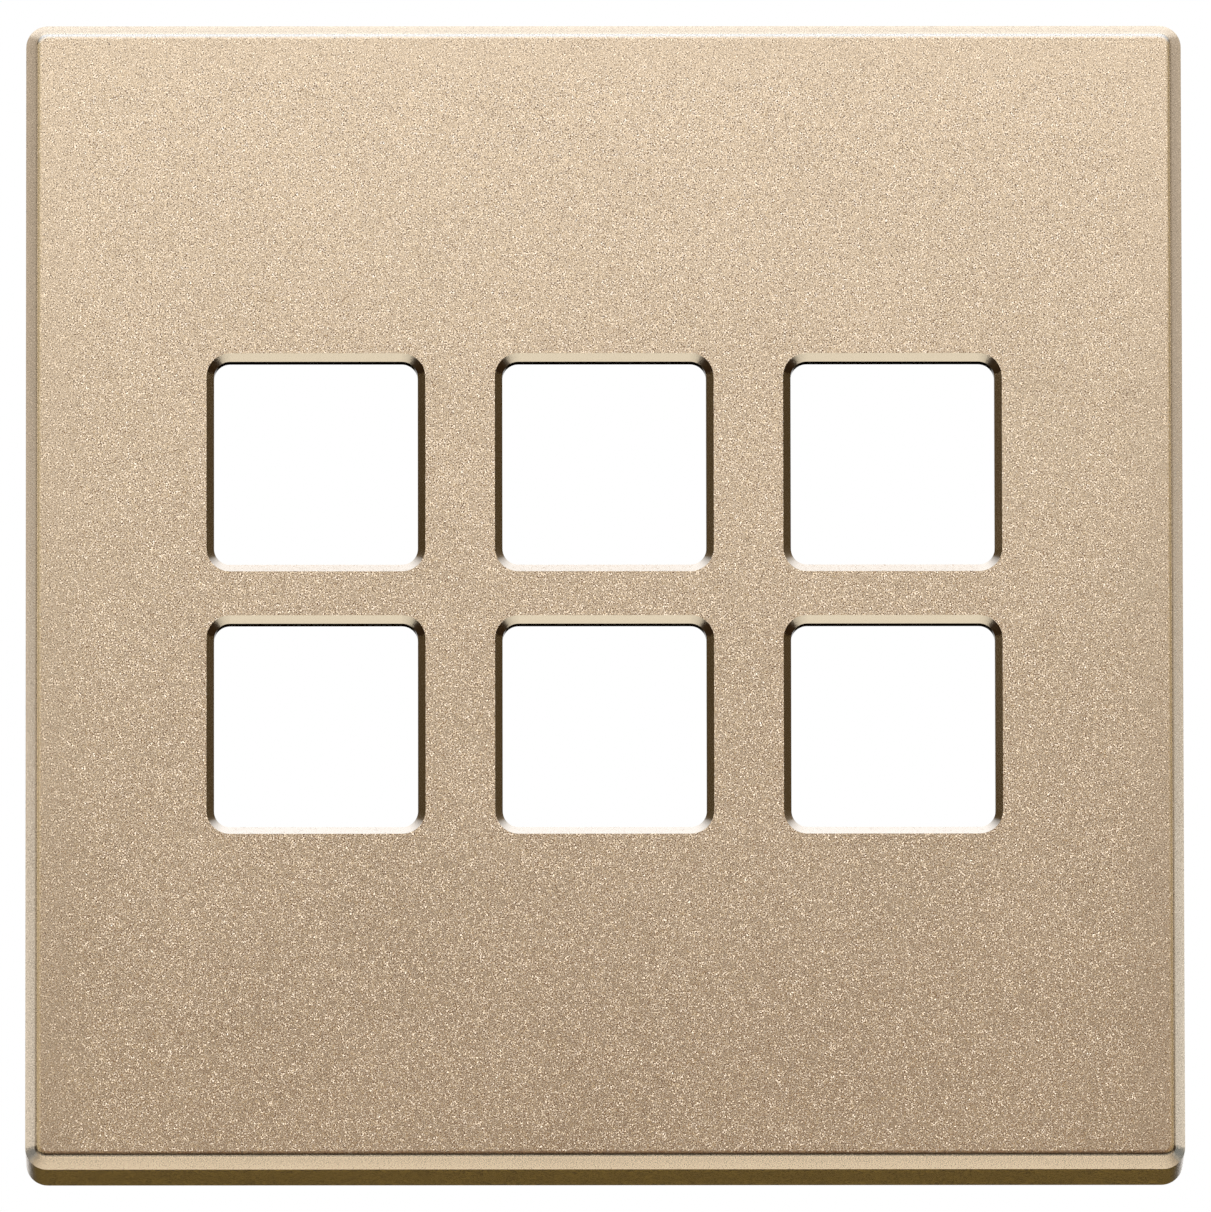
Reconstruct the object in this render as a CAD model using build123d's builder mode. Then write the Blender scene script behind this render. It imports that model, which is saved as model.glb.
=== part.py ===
from build123d import *
import os
from math import atan2, tan

# A square cover plate for a six-key wall switch: one cast shell with a bevelled front, six bevelled
# key windows and a skirt that clips over a mounting frame on the wall.
# Millimetres. X runs to the right and Z up as the plate hangs on the wall, and its front faces -Y.
# The origin is the middle of the rear rim, the plane that lies against the wall.

# Outside of the shell
plate_width = 90.3
plate_height = 90.3
plate_depth = 10.5
front_wall = 1.9
skirt_wall = 1.8

# Bevel round the face, with a rounded crease where it leaves the face
bevel_width = 0.89
bevel_depth = 1.6
crease_radius = 0.6
face_corner_radius = 0.45

# Key windows
window_columns = 3
window_rows = 2
column_pitch = 22.5
row_pitch = 20.7
window_width = 15.9
window_height = 16.05
window_corner_radius = 1.25
window_bevel_width = 0.59
window_bevel_depth = 0.48

# Inside of the skirt
draft_angle = 1.0
cavity_corner_radius = 1.2
root_radius = 0.6
rim_chamfer = 0.4

# Ribs on the back of the face, in the middle of the bars round the windows
rib_width = 1.2
rib_height = 1.5

# Catches inside the top and bottom of the skirt, which click over the frame's edge
catch_pitch = 45.0
catch_width = 8.0
catch_height = 0.7
catch_ramp = 1.4
catch_hook = 0.5
catch_set_back = 1.6

# Pads inside the left and right of the skirt, which centre the plate on the frame
pad_pitch = 45.0
pad_width = 2.4
pad_height = 0.5
pad_set_back = 1.2

# Worked out from the sizes above
bevel_turn = atan2(bevel_depth, bevel_width)
crease_reach = crease_radius * tan(bevel_turn / 2)
crease_corner_radius = face_corner_radius + crease_reach
outer_corner_radius = crease_corner_radius + bevel_width
cavity_width = plate_width - 2 * skirt_wall
cavity_height = plate_height - 2 * skirt_wall
cavity_depth = plate_depth - front_wall
skirt_middle = skirt_wall / 2
catch_hook_start = catch_set_back + catch_ramp
catch_end = catch_hook_start + catch_hook
pad_length = cavity_depth - pad_set_back
pad_span = cavity_width + skirt_middle - pad_height

rear_plane = Plane.XZ
face_plane = Plane.XZ.offset(plate_depth)
inner_plane = Plane.XZ.offset(cavity_depth)

os.makedirs("parts", exist_ok=True)

with BuildPart() as cover_plate:
    # Block with rounded corners, standing forward of the wall
    with BuildSketch(rear_plane):
        RectangleRounded(plate_width, plate_height, outer_corner_radius)
    extrude(amount=plate_depth)

    # Bevel round the face, then the soft crease between the two
    face = cover_plate.faces().sort_by(Axis.Y).first
    chamfer(face.edges(), length=bevel_width, length2=bevel_depth, reference=face)
    face = cover_plate.faces().sort_by(Axis.Y).first
    fillet(face.edges(), crease_radius)

    # Hollow behind the face, a little wider at the rim so that it leaves the die
    with BuildSketch(rear_plane):
        RectangleRounded(cavity_width, cavity_height, cavity_corner_radius)
    extrude(amount=cavity_depth, taper=draft_angle, mode=Mode.SUBTRACT)
    floor = cover_plate.faces().filter_by(Axis.Y).sort_by(Axis.Y)[1]
    fillet(floor.edges(), root_radius)
    rim = cover_plate.faces().sort_by(Axis.Y).last
    chamfer(rim.inner_wires().edges(), rim_chamfer)

    # Windows, bevelled on the front
    with BuildSketch(face_plane):
        with GridLocations(column_pitch, row_pitch, window_columns, window_rows):
            RectangleRounded(window_width, window_height, window_corner_radius)
    extrude(amount=-front_wall, mode=Mode.SUBTRACT)
    face = cover_plate.faces().sort_by(Axis.Y).first
    chamfer(
        face.inner_wires().edges(),
        length=window_bevel_width,
        length2=window_bevel_depth,
        reference=face,
    )

    # Ribs that frame each window from behind and run out to the skirt
    with BuildSketch(inner_plane):
        with GridLocations(column_pitch, 0, window_columns + 1, 1):
            Rectangle(rib_width, cavity_height)
        with GridLocations(0, row_pitch, 1, window_rows + 1):
            Rectangle(cavity_width, rib_width)
    extrude(amount=-rib_height)

    # Catches: a ramp that the frame rides up, a crest and a steep hook behind it
    for side in (-1, 1):
        with BuildSketch(Plane.YZ.offset(side * catch_pitch / 2)):
            with BuildLine():
                Polyline(
                    (-catch_set_back, cavity_height / 2 + skirt_middle),
                    (-catch_set_back, cavity_height / 2),
                    (-catch_hook_start, cavity_height / 2 - catch_height),
                    (-catch_end, cavity_height / 2),
                    (-catch_end, cavity_height / 2 + skirt_middle),
                    close=True,
                )
            make_face()
            mirror(about=Plane.XZ)
        extrude(amount=catch_width / 2, both=True)

    # Pads on the side walls, from the floor nearly to the rim
    with BuildSketch(inner_plane):
        with GridLocations(pad_span, pad_pitch, 2, 2):
            Rectangle(pad_height + skirt_middle, pad_width)
    extrude(amount=-pad_length)

cover_plate.part.label = "cover_plate"
export_step(cover_plate.part, "parts/cover_plate.step")
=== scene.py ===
from math import cos, pi, radians, sin

import bpy
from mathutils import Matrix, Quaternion, Vector


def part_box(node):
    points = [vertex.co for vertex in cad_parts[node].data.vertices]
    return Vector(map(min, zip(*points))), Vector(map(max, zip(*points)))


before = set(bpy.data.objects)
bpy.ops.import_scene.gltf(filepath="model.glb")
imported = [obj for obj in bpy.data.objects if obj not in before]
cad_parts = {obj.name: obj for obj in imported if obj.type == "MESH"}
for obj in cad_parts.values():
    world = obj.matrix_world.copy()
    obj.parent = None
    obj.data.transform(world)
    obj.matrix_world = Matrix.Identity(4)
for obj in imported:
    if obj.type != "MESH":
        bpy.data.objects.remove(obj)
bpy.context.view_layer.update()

# Camera: the photograph's framing, seen from a little below and a hair to the left
FRAME_HEIGHT_PX = 1212
FACE_PX_PER_M = 12823
SENSOR_WIDTH = 36
CAMERA_DISTANCE = 2.8
CAMERA_REACH = 50
CAMERA_BELOW = radians(8.94)
CAMERA_LEFT = radians(0.37)
CAMERA_ROLL = radians(-0.089)
FACE_RIGHT_OF_MIDDLE_PX = -1.0
FACE_ABOVE_MIDDLE_PX = 12.9

# Floor: pale to the camera, and in dim light to the metal
FLOOR_HEIGHT = -1.5
FLOOR_SIZE = 80
FLOOR_COLOUR = (0.86, 0.84, 0.8, 1)
FLOOR_ROUGHNESS = 0.9
FLOOR_SEEN = 0.85
FLOOR_LIGHT = (0.04, 0.026, 0.014, 1)

# Surround that the metal shows: dim in front and below, grey beside and white behind
WHITE = (1, 1, 1, 1)
FRONT_DIM = (0.094, 0.073, 0.039, 1)
BESIDE_SHARE = 0.62
BESIDE_START, BESIDE_END = -0.17, -0.06
BEHIND_START, BEHIND_END = 0.5, 0.95
RISE_START, RISE_END = 0.02, 0.1

# Lamps: name, place, aim, width, height, level of red, green and blue, and spread in degrees
PLATE_MIDDLE = (0, -0.01, 0)
WIDE = 180
SOFTBOXES = [
    # On the face, from above and weakly from straight in front
    ("front_softbox", (0, -0.32, 0.15), PLATE_MIDDLE, 0.4, 0.16, (1.86, 1.91, 1.96), WIDE),
    ("low_warm_fill", (0, -0.32, -0.08), (0, -0.01, -0.04), 0.6, 0.14, (0.165, 0.05, 0.01), WIDE),
    # In the top crease and the bottom bevels of the windows
    ("upper_softbox", (0, -0.257, 0.446), PLATE_MIDDLE, 1.6, 0.52, (0.613, 0.803, 1.15), 115),
    ("overhead_softbox", (0, 0.155, 0.45), (0, 0.155, 0), 1.4, 0.29, (0.51, 0.615, 0.74), 115),
    # In the top bevels of the windows, and in the plate's lower bevel
    ("low_front_strip", (0, -0.172, -0.423), PLATE_MIDDLE, 2.0, 0.06, (0.555, 0.608, 0.625), 130),
    ("low_bounce", (0, 0.158, -0.42), (0, 0.158, 0), 1.8, 0.484, (0.58, 0.577, 0.535), 140),
    # On the face from both sides, and in the side creases
    ("left_softbox", (-0.301, -0.344, 0), PLATE_MIDDLE, 0.4, 0.5, (0.595, 0.58, 0.43), WIDE),
    ("right_softbox", (0.301, -0.344, 0), PLATE_MIDDLE, 0.4, 0.5, (0.445, 0.405, 0.27), WIDE),
    ("left_strip", (-0.418, -0.169, 0.07), (0, -0.01, 0.07), 0.05, 0.14, (1.7, 1.7, 1.7), WIDE),
    ("right_strip", (0.418, -0.169, 0.07), (0, -0.01, 0.07), 0.05, 0.14, (1.35, 1.35, 1.35), WIDE),
    # In the top bevel and the side bevels
    ("rear_top_strip", (0, 0.39, 0.45), (0, 0.39, 0), 1.0, 0.14, (0.76, 0.85, 0.95), WIDE),
    ("rear_left_fill", (-0.3, 0.16, -0.1), (0, -0.01, -0.1), 0.2, 0.28, (0.286, 0.348, 0.42), WIDE),
    ("rear_right_fill", (0.3, 0.16, -0.1), (0, -0.01, -0.1), 0.2, 0.28, (0.268, 0.35, 0.435), WIDE),
    # On the far floor, which the underside of the plate shows
    ("far_floor_lamp", (0, 9.5, 0.5), (0, 9.5, -1.5), 6, 6, (0.352, 0.256, 0.062), 100),
]

# Where the plate's differently finished surfaces start and end
low_corner, high_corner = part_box("cover_plate")
HALF_WIDTH = (high_corner[0] - low_corner[0]) / 2
FACE_PLACE = low_corner[1]
FACE_END = FACE_PLACE + 0.0001
# The outer bevel is painted paler from here to its end, a painted sheen
BEVEL_SHEEN_START = FACE_PLACE + 0.0004
BEVEL_END = FACE_PLACE + 0.00161
INNER_PLACE = FACE_PLACE + 0.00188
SKIRT_INSIDE = HALF_WIDTH - 0.0014
BORDER_START = HALF_WIDTH - 0.0057
BORDER_END = HALF_WIDTH - 0.002
WINDOW_REACH = 0.036

# The same by the Y part of a surface's normal, which is -1 on the face
FACE_SLOPE_START, FACE_SLOPE_END = -0.88, -0.99
CREASE_SLOPE_START, CREASE_SLOPE_END = -0.54, -0.6
WALL_SLOPE = -0.3
WINDOW_SLOPE = -0.776
WINDOW_SLOPE_PLAY = 0.12

# Length of the rest of a window bevel's normal, in X and Z
WINDOW_SLOPE_REST = 0.631

# Colours: the metal's two tones, the bare cast inside, and the near-black painted shade on the
# window walls
CHAMPAGNE_DEEP = (0.36, 0.28, 0.2, 1)
CHAMPAGNE_PALE = (0.88, 0.69, 0.49, 1)
CAST_METAL = (0.45, 0.385, 0.31, 1)
WINDOW_WALL_SHADE = (0.06, 0.045, 0.03, 1)

# Sizes of a blasted pit, a cast lump and a cloud in the tone
PIT = 0.00013
CAST_LUMP = 0.0005
CLOUD = 0.012
NOISE_DETAIL = 3.0
NOISE_MIDDLE = (0.5, 0.5, 0.5)

# Share of the pale tone, and what clouds, flecks and the painted sheen on the outer edge and skirt
# add to it
LEAST_TONE = 0.43
CLOUD_TONE = 0.14
FACE_FLECK = 0.45
OUTER_FLECK = 0.7
WINDOW_FLECK = 0.06
EDGE_SHEEN = 0.16
SKIRT_SHEEN = 0.4

# How far the pits and the cast lumps lean
FACE_LEAN = 0.215
BORDER_LEAN = 0.15
OUTER_LEAN = 0.12
CREASE_LEAN = 0.06
WINDOW_LEAN = 0.01
CAST_LEAN = 0.5

# Roughness of the surfaces, and how much a cloud changes it
FACE_ROUGHNESS = 0.36
BORDER_ROUGHNESS = 0.37
OUTER_ROUGHNESS = 0.16
CREASE_ROUGHNESS = 0.24
WINDOW_ROUGHNESS = 0.1
CAST_ROUGHNESS = 0.5
CLOUD_ROUGHNESS = 0.04


def make_node(tree, kind, settings=None, **inputs):
    """Adds a node, gives it its settings, and sets or links its inputs, by name or by _number."""
    node = tree.nodes.new(kind)
    for name, value in (settings or {}).items():
        setattr(node, name, value)
    for name, value in inputs.items():
        key = int(name[1:]) if name[0] == "_" else name.replace("_", " ")
        if isinstance(value, bpy.types.NodeSocket):
            tree.links.new(value, node.inputs[key])
        else:
            node.inputs[key].default_value = value
    return node


def make_math(tree, operation, first, second=0.0, third=0.0):
    settings = {"operation": operation}
    node = make_node(tree, "ShaderNodeMath", settings, _0=first, _1=second, _2=third)
    return node.outputs[0]


def make_vector(tree, operation, **inputs):
    return make_node(tree, "ShaderNodeVectorMath", {"operation": operation}, **inputs).outputs[0]


def split_vector(tree, vector):
    return make_node(tree, "ShaderNodeSeparateXYZ", Vector=vector).outputs


def make_ramp(tree, value, start, end, low=0.0, high=1.0):
    """A soft step from low to high as the value goes from start to end."""
    settings = {"interpolation_type": "SMOOTHSTEP"}
    limits = {"From_Min": start, "From_Max": end, "To_Min": low, "To_Max": high}
    node = make_node(tree, "ShaderNodeMapRange", settings, Value=value, **limits)
    return node.outputs["Result"]


def make_noise(tree, place, size):
    inputs = {"Vector": place.outputs["Object"], "Scale": 1 / size, "Detail": NOISE_DETAIL}
    return make_node(tree, "ShaderNodeTexNoise", **inputs).outputs


def mix_numbers(tree, share, first, second):
    return make_node(tree, "ShaderNodeMix", _0=share, _2=first, _3=second).outputs[0]


def mix_vectors(tree, share, first, second):
    settings = {"data_type": "VECTOR"}
    return make_node(tree, "ShaderNodeMix", settings, _0=share, _4=first, _5=second).outputs[1]


def mix_colours(tree, share, first, second):
    settings = {"data_type": "RGBA"}
    return make_node(tree, "ShaderNodeMix", settings, _0=share, _6=first, _7=second).outputs[2]


def find_regions(tree, place, spot):
    """Masks of the plate's surfaces, by where they lie and which way they face."""
    slope = split_vector(tree, place.outputs["Normal"])["Y"]
    across = make_math(tree, "ABSOLUTE", spot["X"])
    upright = make_math(tree, "ABSOLUTE", spot["Z"])
    from_middle = make_math(tree, "MAXIMUM", across, upright)
    behind = make_math(tree, "GREATER_THAN", spot["Y"], INNER_PLACE)
    within = make_math(tree, "LESS_THAN", from_middle, SKIRT_INSIDE)
    flat_normal = tree.nodes.new("ShaderNodeNewGeometry").outputs["True Normal"]
    flat_slope = split_vector(tree, flat_normal)["Y"]
    upright_wall = make_math(tree, "GREATER_THAN", flat_slope, WALL_SLOPE)
    in_front = make_math(tree, "LESS_THAN", spot["Y"], FACE_END)
    in_window = make_math(tree, "LESS_THAN", from_middle, WINDOW_REACH)
    to_edge = make_math(tree, "MAXIMUM", across, spot["Z"])
    facing = make_ramp(tree, slope, FACE_SLOPE_START, FACE_SLOPE_END)
    face = make_math(tree, "MULTIPLY", facing, in_front)
    border = make_ramp(tree, to_edge, BORDER_START, BORDER_END)
    crease = make_ramp(tree, slope, CREASE_SLOPE_START, CREASE_SLOPE_END)
    # Painted sheen: the outer bevel's share of paler colour, growing toward its outer edge
    bevel_sheen = make_ramp(tree, spot["Y"], BEVEL_SHEEN_START, BEVEL_END)
    skirt = make_math(tree, "GREATER_THAN", spot["Y"], BEVEL_END)
    outer = make_math(tree, "GREATER_THAN", from_middle, WINDOW_REACH)
    sloped = make_math(tree, "COMPARE", slope, WINDOW_SLOPE, WINDOW_SLOPE_PLAY)
    window_bevel = make_math(tree, "MULTIPLY", sloped, in_window)
    # Painted shade: the upright window walls, which get a near-black colour
    painted_shade_wall = make_math(tree, "MULTIPLY", upright_wall, in_window)
    inside = make_math(tree, "MULTIPLY", behind, within)
    return {
        "face": face,
        "border": border,
        "crease": crease,
        "bevel_sheen": bevel_sheen,
        "skirt": skirt,
        "outer": outer,
        "window_bevel": window_bevel,
        "painted_shade_wall": painted_shade_wall,
        "inside": inside,
    }


def pit_lean(tree, place, spot):
    """The way each blasted pit leans: its cell's random lean less that of the next cell.

    The cells lie on a sheet that is folded back over the plate's edges and bevels.
    """
    normal = split_vector(tree, place.outputs["Normal"])
    depth = make_math(tree, "SUBTRACT", spot["Y"], FACE_PLACE)
    across = make_math(tree, "MULTIPLY_ADD", normal["X"], depth, spot["X"])
    upright = make_math(tree, "MULTIPLY_ADD", normal["Z"], depth, spot["Z"])
    sheet = make_node(tree, "ShaderNodeCombineXYZ", X=across, Y=upright).outputs[0]
    leans = []
    for order in ("F1", "F2"):
        settings = {"voronoi_dimensions": "2D", "feature": order}
        cell = make_node(tree, "ShaderNodeTexVoronoi", settings, Vector=sheet, Scale=1 / PIT)
        leans.append(cell.outputs["Color"])
    return make_vector(tree, "SUBTRACT", _0=leans[0], _1=leans[1])


def even_slope(tree, normal, window_bevel):
    """Gives the window bevels their one slope all round, as the mesh's smooth normals stray."""
    level = make_vector(tree, "MULTIPLY", _0=normal, _1=(1, 0, 1))
    level = make_vector(tree, "NORMALIZE", _0=level)
    sideways = (WINDOW_SLOPE_REST, 0, WINDOW_SLOPE_REST)
    forward = (0, WINDOW_SLOPE, 0)
    sloped = make_vector(tree, "MULTIPLY_ADD", _0=level, _1=sideways, _2=forward)
    return mix_vectors(tree, window_bevel, normal, sloped)


def champagne_metal():
    """Blasted face, fainter blasting and a painted sheen on the outer bevel, smooth window bevels,
    painted shade on the window walls, a cast inside.
    """
    material = bpy.data.materials.new("champagne_metal")
    material.use_nodes = True
    tree = material.node_tree
    shader = tree.nodes["Principled BSDF"]
    shader.inputs["Metallic"].default_value = 1.0
    place = tree.nodes.new("ShaderNodeTexCoord")
    spot = split_vector(tree, place.outputs["Object"])
    region = find_regions(tree, place, spot)
    pits = pit_lean(tree, place, spot)
    lumps = make_noise(tree, place, CAST_LUMP)
    cloud = make_noise(tree, place, CLOUD)

    # Colour: faint clouds, a fleck on every pit, most on the outer bevel, and a painted sheen
    # there: paler toward the bevel's outer edge and on the skirt
    fleck = split_vector(tree, pits)["Y"]
    fleck_share = mix_numbers(tree, region["outer"], WINDOW_FLECK, OUTER_FLECK)
    fleck_share = mix_numbers(tree, region["face"], fleck_share, FACE_FLECK)
    tone = make_math(tree, "MULTIPLY_ADD", cloud["Fac"], CLOUD_TONE, LEAST_TONE)
    tone = make_math(tree, "MULTIPLY_ADD", fleck, fleck_share, tone)
    # Painted sheen: paler colour toward the outer bevel's edge and on the skirt, standing in for
    # their brighter reflection
    painted_sheen = mix_numbers(tree, region["skirt"], region["bevel_sheen"], SKIRT_SHEEN)
    painted_sheen = make_math(tree, "MULTIPLY", painted_sheen, region["outer"])
    tone = make_math(tree, "MULTIPLY_ADD", painted_sheen, EDGE_SHEEN, tone)
    metal = mix_colours(tree, tone, CHAMPAGNE_DEEP, CHAMPAGNE_PALE)
    # Painted shade: the upright window walls are coloured near black, as where shade falls inside
    # the windows
    metal = mix_colours(tree, region["painted_shade_wall"], metal, WINDOW_WALL_SHADE)
    metal = mix_colours(tree, region["inside"], metal, CAST_METAL)
    tree.links.new(metal, shader.inputs["Base Color"])
    # Painted shade on the window walls' reflection too: their grazing edge tint is near black
    edge_tint = mix_colours(tree, region["painted_shade_wall"], WHITE, WINDOW_WALL_SHADE)
    tree.links.new(edge_tint, shader.inputs["Specular Tint"])

    # Grain: the face's pits lean most, those near its border less, and those on bevels far less
    face_lean = mix_numbers(tree, region["border"], FACE_LEAN, BORDER_LEAN)
    bevel_lean = mix_numbers(tree, region["crease"], OUTER_LEAN, CREASE_LEAN)
    bevel_lean = mix_numbers(tree, region["outer"], WINDOW_LEAN, bevel_lean)
    lean = mix_numbers(tree, region["face"], bevel_lean, face_lean)
    lean = make_vector(tree, "SCALE", _0=pits, Scale=lean)
    lump = make_vector(tree, "SUBTRACT", _0=lumps["Color"], _1=NOISE_MIDDLE)
    lump_lean = make_math(tree, "MULTIPLY", region["inside"], CAST_LEAN)
    lump = make_vector(tree, "SCALE", _0=lump, Scale=lump_lean)
    normal = tree.nodes.new("ShaderNodeNewGeometry").outputs["Normal"]
    normal = even_slope(tree, normal, region["window_bevel"])
    normal = make_vector(tree, "ADD", _0=normal, _1=lean)
    normal = make_vector(tree, "ADD", _0=normal, _1=lump)
    tree.links.new(make_vector(tree, "NORMALIZE", _0=normal), shader.inputs["Normal"])

    # Roughness: matt face, satin crease and outer bevel, smooth window bevels, dull cast inside
    bevel = mix_numbers(tree, region["crease"], OUTER_ROUGHNESS, CREASE_ROUGHNESS)
    bevel = mix_numbers(tree, region["outer"], WINDOW_ROUGHNESS, bevel)
    face = mix_numbers(tree, region["border"], FACE_ROUGHNESS, BORDER_ROUGHNESS)
    roughness = mix_numbers(tree, region["face"], bevel, face)
    roughness = mix_numbers(tree, region["inside"], roughness, CAST_ROUGHNESS)
    roughness = make_math(tree, "MULTIPLY_ADD", cloud["Fac"], CLOUD_ROUGHNESS, roughness)
    roughness = make_math(tree, "SUBTRACT", roughness, CLOUD_ROUGHNESS / 2)
    tree.links.new(roughness, shader.inputs["Roughness"])
    return material


def lay_floor():
    """A plain floor, which the camera sees at nearly its own colour whatever light falls on it."""
    bpy.ops.object.select_all(action="DESELECT")
    bpy.ops.mesh.primitive_plane_add(size=FLOOR_SIZE, location=(0, 0, FLOOR_HEIGHT))
    floor = bpy.context.object
    floor.name = "floor"
    material = bpy.data.materials.new("pale_floor")
    material.use_nodes = True
    tree = material.node_tree
    shader = tree.nodes["Principled BSDF"]
    shader.inputs["Base Color"].default_value = FLOOR_COLOUR
    shader.inputs["Roughness"].default_value = FLOOR_ROUGHNESS
    shader.inputs["Specular IOR Level"].default_value = 0.0
    pale = make_node(tree, "ShaderNodeEmission", Color=FLOOR_COLOUR)
    ray = tree.nodes.new("ShaderNodeLightPath")
    seen = make_math(tree, "MULTIPLY", ray.outputs["Is Camera Ray"], FLOOR_SEEN)
    mix = make_node(tree, "ShaderNodeMixShader", Fac=seen, _1=shader.outputs[0], _2=pale.outputs[0])
    tree.links.new(mix.outputs[0], tree.nodes["Material Output"].inputs["Surface"])
    floor.data.materials.append(material)


def set_studio():
    """The white that the camera sees, the surround that the metal shows, and the floor's light."""
    world = bpy.data.worlds.new("studio")
    bpy.context.scene.world = world
    world.use_nodes = True
    tree = world.node_tree
    surround = tree.nodes["Background"]
    direction = tree.nodes.new("ShaderNodeTexCoord")
    toward = split_vector(tree, direction.outputs["Generated"])
    beside = make_ramp(tree, toward["Y"], BESIDE_START, BESIDE_END, 0.0, BESIDE_SHARE)
    behind = make_ramp(tree, toward["Y"], BEHIND_START, BEHIND_END, 0.0, 1 - BESIDE_SHARE)
    risen = make_ramp(tree, toward["Z"], RISE_START, RISE_END)
    share = make_math(tree, "MULTIPLY", make_math(tree, "ADD", beside, behind), risen)
    ray = tree.nodes.new("ShaderNodeLightPath")
    shade = mix_colours(tree, share, FRONT_DIM, WHITE)
    shade = mix_colours(tree, ray.outputs["Is Camera Ray"], shade, WHITE)
    tree.links.new(shade, surround.inputs["Color"])

    even = make_node(tree, "ShaderNodeBackground", Color=FLOOR_LIGHT)
    seen = make_math(tree, "MAXIMUM", ray.outputs["Is Camera Ray"], ray.outputs["Is Glossy Ray"])
    seen = make_math(tree, "MAXIMUM", seen, ray.outputs["Is Transmission Ray"])
    sides = {"_1": even.outputs[0], "_2": surround.outputs[0]}
    mix = make_node(tree, "ShaderNodeMixShader", Fac=seen, **sides)
    tree.links.new(mix.outputs[0], tree.nodes["World Output"].inputs["Surface"])


def hang_softbox(name, place, aim, width, height, level, spread):
    """An area lamp of the given level, which fades sideways where its spread is small."""
    lamp = bpy.data.lights.new(name, "AREA")
    lamp.shape = "RECTANGLE"
    lamp.size = width
    lamp.size_y = height
    lamp.color = level
    lamp.energy = pi * width * height
    lamp.spread = radians(spread)
    box = bpy.data.objects.new(name, lamp)
    bpy.context.collection.objects.link(box)
    box.location = place
    box.rotation_mode = "QUATERNION"
    box.rotation_quaternion = (Vector(aim) - Vector(place)).to_track_quat("-Z", "Y")


def aim_camera():
    face_middle = (Vector(low_corner) + Vector(high_corner)) / 2
    face_middle.y = FACE_PLACE
    back = Vector((
        -sin(CAMERA_LEFT) * cos(CAMERA_BELOW),
        -cos(CAMERA_LEFT) * cos(CAMERA_BELOW),
        -sin(CAMERA_BELOW),
    ))
    turn = back.to_track_quat("Z", "Y") @ Quaternion((0, 0, 1), CAMERA_ROLL)
    step = Vector((-FACE_RIGHT_OF_MIDDLE_PX, -FACE_ABOVE_MIDDLE_PX, 0)) / FACE_PX_PER_M
    data = bpy.data.cameras.new("camera")
    data.sensor_width = SENSOR_WIDTH
    data.lens = data.sensor_width * FACE_PX_PER_M * CAMERA_DISTANCE / FRAME_HEIGHT_PX
    data.clip_end = CAMERA_REACH
    camera = bpy.data.objects.new("camera", data)
    bpy.context.collection.objects.link(camera)
    camera.location = face_middle + turn @ step + back * CAMERA_DISTANCE
    camera.rotation_mode = "QUATERNION"
    camera.rotation_quaternion = turn
    bpy.context.scene.camera = camera


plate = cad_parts["cover_plate"]
plate.material_slots[0].material = champagne_metal()

lay_floor()
set_studio()
for softbox in SOFTBOXES:
    hang_softbox(*softbox)
aim_camera()
bpy.context.scene.view_settings.view_transform = "Standard"
